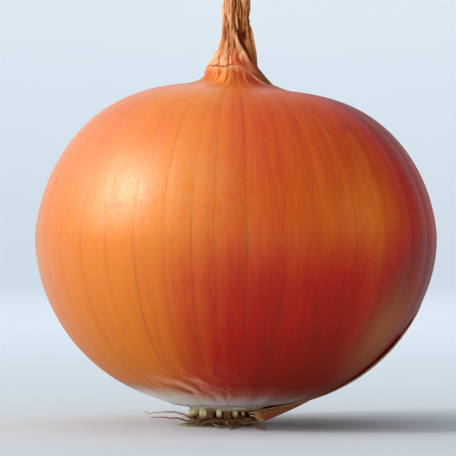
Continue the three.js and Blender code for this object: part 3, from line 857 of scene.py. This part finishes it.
def skin_material():
    """Dry onion skin: golden to deep red, streaked along the veins, and pale at the root end."""
    veins = float(bpy.context.scene.onion_sizes.vein_count)
    material, nodes, colours = blank_material("onion skin")
    place = nodes.place()
    x, y, _ = nodes.parts(place)
    z, side, front, spread = bearings(nodes, place)
    height = z / MM
    ring = spread / MM
    degrees = x.atan2(-y) * (1 / DEGREE)
    clouds = nodes.noise(place, scale=32.0)
    streaks = nodes.noise((side * 12.0, front * 12.0, z * 14.0), detail=3.0)
    threads = nodes.vector(side * 60.0, front * 60.0, z * 220.0)
    fibres = nodes.noise(threads, detail=4.0, roughness=0.75)
    grain = nodes.noise((x * 1.5, y * 1.5, z), detail=3.0, roughness=0.7, scale=1500.0)

    # Ripeness and painted shade of a place, from the golden left to the dark red lower right: the side
    # turned from the key light and the lower skin are painted darker and redder
    turned = degrees.fade(88.0, 168.0)
    ripe_and_painted_shade = degrees.ease(-38.0, 15.0) * 0.42 + degrees.ease(42.0, 66.0) * 0.42
    # Painted shade: the lower skin is darker and redder, where it turns down from the light
    low = (1.0 - (height + clouds * 9.0).ease(27.0, 41.0)) * 0.34
    low = low + height.fade(10.0, 27.0) * 0.2
    ripe_and_painted_shade = (ripe_and_painted_shade + low * degrees.ease(-44.0, -4.0)) * turned
    # Painted highlight: a golden patch where the right-hand lamp's highlight falls
    glow = degrees.bell(34.0, 13.0) * height.bell(42.0, 6.0) * 0.135
    crown = height.ease(61.0, 68.0) * degrees.bell(-5.0, 50.0) * 0.25
    crown = crown + degrees.bell(-12.0, 12.0) * height.bell(54.0, 12.0) * 0.22
    broad = nodes.noise(place, scale=19.0) * (abs(degrees) / 90.0).at_most(1.0)
    ripe_and_painted_shade = ripe_and_painted_shade + broad * 0.7 - glow - crown + height.ease(40.0, 60.0) * 0.12
    ripe_and_painted_shade = ripe_and_painted_shade + clouds * 0.34 + streaks * 0.4 + fibres * 0.5 + grain * 0.42
    stops = (
        (0.0, colours.golden),
        (0.3, colours.orange),
        (0.56, colours.copper),
        (0.8, colours.deep),
        (1.0, colours.darkest),
    )
    base = nodes.add("ShaderNodeValToRGB", {"stops": stops}, {"Fac": ripe_and_painted_shade}, "Color")

    # The weathered patch and the dull, worn stretch of the front
    patch = degrees.bell(57.0, 11.0) * height.bell(19.0, 7.5)
    base = nodes.mix((patch * 0.85 + streaks * 0.6 * patch).at_least(0.0), base, colours.olive)
    worn = height.bell(47.5, 9.0) * degrees.bell(-15.0, 15.0) * 0.8
    net = abs(nodes.noise((x, y, z * 0.6), detail=3.0, roughness=0.6, scale=330.0))
    dull = (clouds + streaks + fibres + worn * 0.6 - 0.1).ease(0.1, 0.75) * 0.25
    dull = dull + worn * (0.5 - net * 4.0)
    base = nodes.mix((dull * (grain * 2.0 + 0.8)).span(0.0, 1.0), base, (0.68, 0.29, 0.085))

    # Dark veins between the ribs, some keener than others
    around, _, _ = nodes.parts(nodes.add("ShaderNodeUVMap", {"uv_map": "UVMap"}))
    rib = (around - 0.5) * veins
    off_vein = abs((rib + 0.5).fraction() - 0.5) * ring * (TURN / veins)
    which = (rib + 0.5).floor()
    keen = nodes.noise((which * 0.73, height * 0.035, 2.0), detail=1.0) * 2.2 + 0.62
    line = (off_vein + fibres * 0.22).bell(0.0, 0.15) * keen.span(0.0, 1.0)
    line = line * (1.0 - height.span(64.0, 69.0)) * height.ease(5.0, 11.0)
    ink = nodes.mix(ripe_and_painted_shade.ease(0.05, 0.6), (0.40, 0.085, 0.012), colours.vein)
    line = line * 0.42 + off_vein.bell(0.0, 0.55) * keen.span(0.0, 1.0) * height.ease(8.0, 16.0) * 0.13
    base = nodes.mix(line * (1.0 - height.ease(36.0, 50.0) * 0.5), base, ink)

    # Fine threads, pale flecks that are partly painted glints, dark pits, and painted reflections on
    # both limbs
    thin = (fibres * 1.9 + streaks * 0.5).ease(0.2, 0.75)
    base = nodes.mix(thin * 0.26, base, colours.vein)
    # Pale flecks, partly painted glints, kept to the golden side where the light falls
    specks_and_painted_glints = (grain * 1.6 + fibres * 0.8 + clouds * 0.4).ease(0.05, 0.75) * ripe_and_painted_shade.fade(0.3, 0.7)
    base = nodes.mix(specks_and_painted_glints * 0.4, base, (0.92, 0.38, 0.14))
    pits = (grain * -1.6 - fibres * 0.8 + streaks * 0.4).ease(0.05, 0.75)
    base = nodes.mix(pits * 0.35, base, colours.deep)
    # Painted reflection: pale streaks on the ribs of the right limb
    painted_rib_sheen = (streaks * 2.4 + fibres * 1.5 + 0.1).ease(0.1, 0.9) * degrees.bell(76.0, 13.0)
    base = nodes.mix(painted_rib_sheen * height.ease(16.0, 34.0) * 0.36, base, (0.38, 0.12, 0.055))
    # Painted reflection: a pale pinkish haze along the left limb, where the skin would mirror the
    # bright sky
    painted_limb_haze = degrees.bell(-82.0, 22.0) * height.ease(8.0, 20.0) * (0.8 + fibres)
    base = nodes.mix(painted_limb_haze.at_least(0.0) * 0.35, base, (0.64, 0.27, 0.16))

    # One scuff and one spot
    scuff = height.bell(43.6, 0.5) * degrees.bell(-35.0, 2.2) * (grain * 2.0 + 0.8).at_least(0.0)
    spot = height.bell(58.6, 0.9) * degrees.bell(44.0, 2.0) * 0.8
    base = nodes.mix((scuff * 0.55 + spot).at_most(1.0), base, (0.36, 0.03, 0.012))

    # The pale scale of the root end and the tear line above it
    edge = height + streaks * 3.2 + fibres * 1.6 - degrees.bell(-62.0, 40.0) * 2.2
    base = nodes.mix(edge.fade(4.4, 8.8) * 0.8, base, colours.blush)
    base = nodes.mix(1.0 - (edge + grain * 1.2).ease(3.4, 6.8), base, colours.bare)
    tear = (height - 4.35 + nodes.noise((side * 5.0, front * 5.0, 1.0), detail=3.0) * 1.1)
    base = nodes.mix(tear.bell(0.0, 0.11) * 0.7, base, colours.vein)

    # The gathered collar: darker grooves and paler ridges that are partly painted shade and painted
    # highlight, its pale rim, and a dark red side that is painted shade in the fold under the neck
    gathers = nodes.noise((side * 7.0, front * 7.0, height * 0.08), detail=3.0)
    # Partly painted shade: the collar's grooves are darker
    grooves = (gathers.bell(0.0, 0.05) + gathers.bell(0.2, 0.04) * 0.7) * height.ease(65.5, 68.5)
    base = nodes.mix(grooves.at_most(1.0) * 0.8, base, (0.48, 0.075, 0.012))
    # Partly painted highlight: the collar's ridges are paler
    ridges = gathers.bell(-0.13, 0.06) * height.ease(66.5, 69.5)
    base = nodes.mix(ridges * 0.7, base, (0.92, 0.38, 0.12))
    collar = nodes.mark("collar")
    rim = (collar + gathers * 0.5).ease(0.72, 1.0)
    base = nodes.mix(rim * 0.6, base, (0.90, 0.46, 0.19))
    # Painted shade: the collar's dark red side in the fold under the neck
    crimson_painted_shade = degrees.bell(40.0, 27.0) * height.bell(69.4, 2.6) * 1.6
    base = nodes.mix((crimson_painted_shade * (1.0 + gathers * 2.0)).span(0.0, 1.0) * 0.85, base, (0.36, 0.02, 0.008))

    # Puckers above the root end
    folds = nodes.noise((side * 2.0, height * 0.22 + degrees * 0.05, 0.0), detail=3.0, scale=2.8)
    folds = folds * degrees.bell(-29.0, 18.0) * height.bell(8.0, 3.2)
    base = nodes.mix((folds * 9.0).span(0.0, 1.0) * 0.8, base, (0.80, 0.40, 0.26))
    base = nodes.mix((folds * -8.0).span(0.0, 1.0) * 0.8, base, (0.30, 0.05, 0.012))

    relief = fibres * 0.6 + grain * 0.7 + streaks * 0.2 - line - scuff * 0.4 + folds * 6.0
    roughness = 0.46 + fibres * 0.2 + clouds * 0.12 + grain * 0.15
    shaded = degrees.ease(-28.0, 40.0) * degrees.fade(150.0, 180.0)
    waxy = height.ease(10.0, 40.0) * (1.0 - shaded * 0.88)
    waxy = (waxy * 0.85 + 0.1) * (0.8 + fibres * 1.3 + grain * 2.0)
    waxy = waxy * (1.0 - height.ease(66.5, 69.0) * 0.8)
    others = {"Specular IOR Level": 0.12, "Coat IOR": 1.45, "Coat Roughness": 0.34}
    others["Coat Weight"] = waxy.span(0.0, 1.0)
    surface(nodes, base, roughness, (relief, 0.13 * MM, 0.7), others)
    return material


def neck_material():
    """Dry folded sheaths: straw on the ridges, bark-brown in the folds, reddish at the foot. The
    ridge-and-fold contrast is partly painted highlight and shade, and the side towards the lamps is
    painted paler.
    """
    material, nodes, colours = blank_material("dry neck")
    place = nodes.place()
    z, side, front, _ = bearings(nodes, place)
    fold = nodes.mark("fold")
    rise = nodes.mark("rise")
    threads = nodes.vector(side * 16.0, front * 16.0, z * 240.0)
    fibres = nodes.noise(threads, detail=4.0, roughness=0.7)
    cracks = nodes.noise((side * 7.0, front * 7.0, z * 90.0), detail=4.0, roughness=0.65)
    cracks = 0.3 - abs(cracks) * 3.0
    blotches = nodes.noise(place, detail=3.0, scale=240.0)
    # Painted light: paler on the side towards the lamps at the left and front, and paler on ridges and
    # darker in folds, partly painted highlight and shade
    lit_side = (side * -0.6 + front * 0.6).span(-0.3, 0.9)
    pale = fold * 1.05 + fibres * 1.6 + blotches * 0.8 - cracks * 0.5 + lit_side * 0.42 - 0.04
    pale = pale + rise.fade(3.0, 10.0) * lit_side * 0.4
    stops = ((0.1, colours.bark), (0.42, colours.husk), (0.8, colours.straw))
    base = nodes.add("ShaderNodeValToRGB", {"stops": stops}, {"Fac": pale}, "Color")
    foot = (1.0 - (rise + fibres * 2.0 - fold * 2.0).ease(4.5, 8.5)) * (0.9 - side * 0.3)
    # Redder in the folds and towards the right: partly painted shade
    red = (side * 0.8 + 1.35 + blotches - fold * 2.0 - fibres * 2.2 + cracks).ease(0.0, 0.8)
    skin = nodes.mix(red, (0.90, 0.46, 0.21), (0.60, 0.075, 0.012))
    base = nodes.mix(foot.span(0.0, 1.0) * 0.9, base, skin)
    # Painted shadow: a red shade at the front of the neck's foot, just right of the middle
    red_painted_shadow = side.bell(0.15, 0.42) * (1.0 - fold + blotches * 2.0 + fibres)
    red_painted_shadow = red_painted_shadow.span(0.0, 0.45) * rise.bell(5.2, 1.5) * front.ease(0.0, 0.4)
    base = nodes.mix(red_painted_shadow * 0.8, base, (0.60, 0.07, 0.012))
    base = nodes.mix(nodes.mark("sheath") * 0.9, base, (0.20, 0.06, 0.017))
    # Painted highlight on the pale ridge and painted shade in the valley, the slit and the seams
    ridges = nodes.mark("ridges")
    base = nodes.mix(ridges.span(0.1, 0.9) * 0.5, base, (0.86, 0.45, 0.21))
    base = nodes.mix((-ridges).span(0.05, 0.8) * 0.85, base, (0.15, 0.022, 0.006))
    # Painted shadow: a dark line in the gap just above the collar's torn edge, mostly at the left and
    # front
    tear = (nodes.mark("above") + fibres).bell(0.1, 0.3) * (0.4 - side).ease(0.0, 0.6)
    base = nodes.mix(tear, base, (0.36, 0.04, 0.008))
    relief = (fibres + blotches * 0.4 - cracks * 0.5, 0.13 * MM, 0.85)
    surface(nodes, base, 0.6 + fibres * 0.2, relief, {"Specular IOR Level": 0.15})
    return material


def torn_skin_material():
    """Papery outer skin: leather-brown, streaked, darker inside and paler at its torn tip, which is
    partly painted light shining through the thin skin.
    """
    material, nodes, colours = blank_material("torn skin")
    place = nodes.place()
    z, side, front, _ = bearings(nodes, place)
    edge = nodes.mark("edge")
    streaks = nodes.noise((side * 22.0, front * 22.0, z * 30.0), detail=3.0)
    blotches = nodes.noise(place, detail=3.0, scale=120.0)
    across = nodes.mark("across")
    creases = nodes.noise((across * 34.0, edge * 2.5, 3.0), detail=3.0)
    streaks = streaks + creases * 0.9
    dark = nodes.mix(0.7, colours.leather, colours.bark)
    pale = nodes.mix(0.5, colours.golden, (1.0, 0.70, 0.36))
    base = nodes.mix((streaks * 1.8 + blotches * 2.2 + 0.2).ease(0.0, 1.0), dark, colours.leather)
    inner = nodes.mix((blotches * 2.0 + streaks + 0.5).span(0.0, 1.0), dark, colours.copper)
    base = nodes.mix(across.ease(0.06, 0.3) * 0.5, base, inner)
    # Partly painted light: the lower front tip is paler, as if light shone through it
    tip = (0.18 - edge - across * 0.4 + blotches * 0.1).span(0.0, 0.06)
    base = nodes.mix(tip, base, pale)
    surface(nodes, base, 0.45 + streaks * 0.2, (streaks + blotches * 0.5, 0.12 * MM, 0.7))
    return material


def cork_material():
    """The root plate: dry, whitish and corky."""
    material, nodes, colours = blank_material("root plate cork")
    place = nodes.place()
    _, _, z = nodes.parts(place)
    grain = nodes.noise(place, detail=4.0, roughness=0.65, scale=900.0)
    stains = nodes.noise(place, detail=3.0, scale=260.0)
    low = (z / MM).span(4.0, 2.6)
    base = nodes.mix((grain * 0.8 + stains + low).ease(0.0, 0.9), colours.cork, (0.22, 0.085, 0.025))
    surface(nodes, base, 0.8 + grain * 0.2, (grain + stains * 0.5, 0.15 * MM, 0.8))
    return material


def root_base_material():
    """Swollen root bases: yellow-green, browner towards their tips, each a little different."""
    material, nodes, colours = blank_material("root bases")
    place = nodes.place()
    _, _, z = nodes.parts(place)
    tone = nodes.mark("tone")
    grain = nodes.noise(place, detail=4.0, roughness=0.6, scale=1500.0)
    base = nodes.mix((tone - 0.35 + grain).ease(0.2, 0.9), colours.sprout, colours.cork)
    low = (z / MM).span(2.9, 1.7) + (0.25 - tone).span(0.0, 0.06) * 0.8
    base = nodes.mix((low + grain * 0.9).ease(0.2, 1.0), base, (0.20, 0.065, 0.02))
    surface(nodes, base, 0.6 + grain * 0.2, (grain, 0.1 * MM, 0.7))
    return material


def root_material():
    """Dry roots: earth-brown to straw-coloured by their tone, with shrivelled bark."""
    material, nodes, colours = blank_material("dry roots")
    place = nodes.place()
    tone = nodes.mark("tone")
    grain = nodes.noise(place, detail=4.0, roughness=0.7, scale=1600.0)
    patches = nodes.noise(place, scale=420.0)
    pale = (tone + grain * 0.5 + patches * 0.5).ease(0.15, 0.95)
    base = nodes.mix(pale, colours.earth, colours.dry_root)
    rust = (patches * 2.0 + grain + 0.35).ease(0.1, 0.8) * tone.fade(0.3, 0.7)
    base = nodes.mix(rust * 0.6, base, (0.26, 0.075, 0.02))
    relief = (grain + patches, 0.15 * MM, 0.9)
    surface(nodes, base, 0.8 + grain * 0.2, relief, {"IOR": 1.4})
    return material


def backdrop_material():
    """A pale matt backdrop with a faint soft unevenness."""
    material, nodes, colours = blank_material("pale backdrop")
    place = nodes.place()
    _, _, z = nodes.parts(place)
    clouds = nodes.noise(place, detail=1.0, scale=1.2)
    wall = z.ease(-0.1, 0.5) + clouds * 0.1
    shade = nodes.mix(wall, colours.floor, colours.backdrop)
    surface(nodes, shade, 0.9 + clouds * 0.05, None, {"IOR": 1.3})
    return material


# The stage


def backdrop(material):
    """One pale sheet: floor, a wide bend and a wall."""
    half, front, bend, wall, radius, steps = 3.0, -2.2, 1.6, 2.6, 0.8, 24
    outline = [(front, 0.0)]
    for step in range(steps + 1):
        angle = math.pi / 2 * step / steps
        outline.append((bend + radius * math.sin(angle), radius - radius * math.cos(angle)))
    outline.append((bend + radius, wall))
    points = [(side, y, z) for y, z in outline for side in (-half, half)]
    faces = [(2 * i, 2 * i + 1, 2 * i + 3, 2 * i + 2) for i in range(len(outline) - 1)]
    mesh = bpy.data.meshes.new("backdrop")
    mesh.from_pydata(points, [], faces)
    mesh.shade_smooth()
    mesh.materials.append(material)
    sheet = bpy.data.objects.new("backdrop", mesh)
    bpy.context.collection.objects.link(sheet)


def softbox(name, place, target, size, power, tint=(1, 1, 1), sheen=True, fill=True):
    """A round soft light that looks at a point. It can light without sheen, or only give sheen."""
    light = bpy.data.lights.new(name, "AREA")
    light.shape = "DISK"
    light.size = size
    light.energy = power
    light.color = tint
    lamp = bpy.data.objects.new(name, light)
    lamp.location = Vector(place)
    lamp.visible_glossy = sheen
    lamp.visible_diffuse = fill
    lamp.rotation_euler = (Vector(place) - Vector(target)).to_track_quat("Z", "Y").to_euler()
    bpy.context.collection.objects.link(lamp)


def studio_world():
    """A pale sky above a dark floor, dimmer at the right, with one soft glow at the upper left."""
    world = bpy.data.worlds.new("studio")
    world.use_nodes = True
    world.node_tree.nodes.clear()
    nodes = Nodes(world.node_tree)
    x, y, z = nodes.parts(nodes.add("ShaderNodeTexCoord", None, None, "Generated"))
    towards = x * -0.83 + y * -0.12 + z * 0.545
    glow = ((towards - 1.0) / 0.065).exp() * z.ease(-0.05, 0.12)
    dim = x.ease(-0.4, 0.6) * 0.85
    sky = nodes.mix(z.ease(-0.08, 0.08) * (1.0 - dim), (0.06, 0.07, 0.08), (0.40, 0.46, 0.52))
    sky = nodes.mix(glow, sky, (4.2, 4.0, 3.8))
    light = nodes.add("ShaderNodeBackground", None, {"Color": sky, "Strength": 1.0})
    nodes.add("ShaderNodeOutputWorld", None, {"Surface": light})
    return world


# The view of the photograph: its width in pixels, a pixel's size on the onion and the distance
PHOTO_WIDTH, PIXEL, DISTANCE = 456, 0.199 * MM, 0.7


def viewpoint():
    """The camera, level with the onion, at the photograph's angle and scale."""
    camera = bpy.data.objects.new("camera", bpy.data.cameras.new("camera"))
    camera.location = (-1.6 * MM, -DISTANCE, 39.2 * MM)
    camera.rotation_euler = (math.pi / 2, 0, 0)
    camera.data.sensor_width = 36
    camera.data.lens = camera.data.sensor_width * DISTANCE / (PHOTO_WIDTH * PIXEL)
    camera.data.clip_start = 0.01
    camera.data.clip_end = 20
    bpy.context.collection.objects.link(camera)
    return camera


class ONION_OT_stage(bpy.types.Operator):
    """Set the pale backdrop, the soft lights and the camera"""

    bl_idname = "onion.stage"
    bl_label = "Stage"

    def execute(self, context):
        scene = context.scene
        backdrop(backdrop_material())
        middle = (0.0, 0.0, 0.04)
        softbox("key", (-0.73, -0.25, 0.50), middle, 0.12, 2.5, (1.0, 0.95, 0.86))
        softbox("glow", (-0.75, -0.20, 0.48), middle, 0.7, 7.0, (1.0, 0.97, 0.93), fill=False)
        softbox("haze", (-0.95, 0.60, 0.80), middle, 1.0, 2.0, (0.88, 0.94, 1.0), fill=False)
        softbox("fill", (-0.35, -1.05, 0.80), middle, 1.2, 1.3, (1.0, 0.99, 0.97), sheen=False)
        softbox("low_fill", (0.25, -1.0, 0.0), middle, 0.5, 4.3, (1.0, 0.99, 0.97), sheen=False)
        softbox("top", (0.35, -0.1, 1.3), (0.35, 0.0, 0.0), 1.6, 4.2, (1.0, 1.0, 1.0), sheen=False)
        softbox("right_glow", (0.93, -0.30, 0.34), middle, 0.3, 0.48, (1.0, 0.99, 0.98))
        softbox("wall_wash", (0.0, 0.6, 1.5), (0.0, 2.4, 0.7), 1.5, 22.0, (0.94, 0.97, 1.0))
        scene.world = studio_world()
        scene.camera = viewpoint()
        scene.view_settings.view_transform = "Standard"
        scene.view_settings.look = "None"
        return {"FINISHED"}


class ONION_PT_panel(bpy.types.Panel):
    """Lists the onion's pieces, sizes and colours"""

    bl_idname = "ONION_PT_panel"
    bl_label = "Onion"
    bl_space_type = "VIEW_3D"
    bl_region_type = "UI"
    bl_category = "Onion"

    def draw(self, context):
        for operator in OPERATORS:
            self.layout.operator(operator.bl_idname)
        for group in (context.scene.onion_sizes, context.scene.onion_colours):
            box = self.layout.box()
            for name in group.bl_rna.properties.keys():
                if name not in ("rna_type", "name"):
                    box.prop(group, name)


OPERATORS = (
    ONION_OT_bulb,
    ONION_OT_neck,
    ONION_OT_torn_skin,
    ONION_OT_root_plate,
    ONION_OT_root_tuft,
    ONION_OT_stage,
)
CLASSES = (OnionSizes, OnionColours, *OPERATORS, ONION_PT_panel)


def register():
    for cls in CLASSES:
        bpy.utils.register_class(cls)
    bpy.types.Scene.onion_sizes = bpy.props.PointerProperty(type=OnionSizes)
    bpy.types.Scene.onion_colours = bpy.props.PointerProperty(type=OnionColours)


def unregister():
    del bpy.types.Scene.onion_colours
    del bpy.types.Scene.onion_sizes
    for cls in reversed(CLASSES):
        bpy.utils.unregister_class(cls)


def main():
    register()
    bpy.ops.onion.bulb()
    bpy.ops.onion.neck()
    bpy.ops.onion.torn_skin()
    bpy.ops.onion.root_plate()
    bpy.ops.onion.root_tuft()
    bpy.ops.onion.stage()


if __name__ == "__main__":
    main()
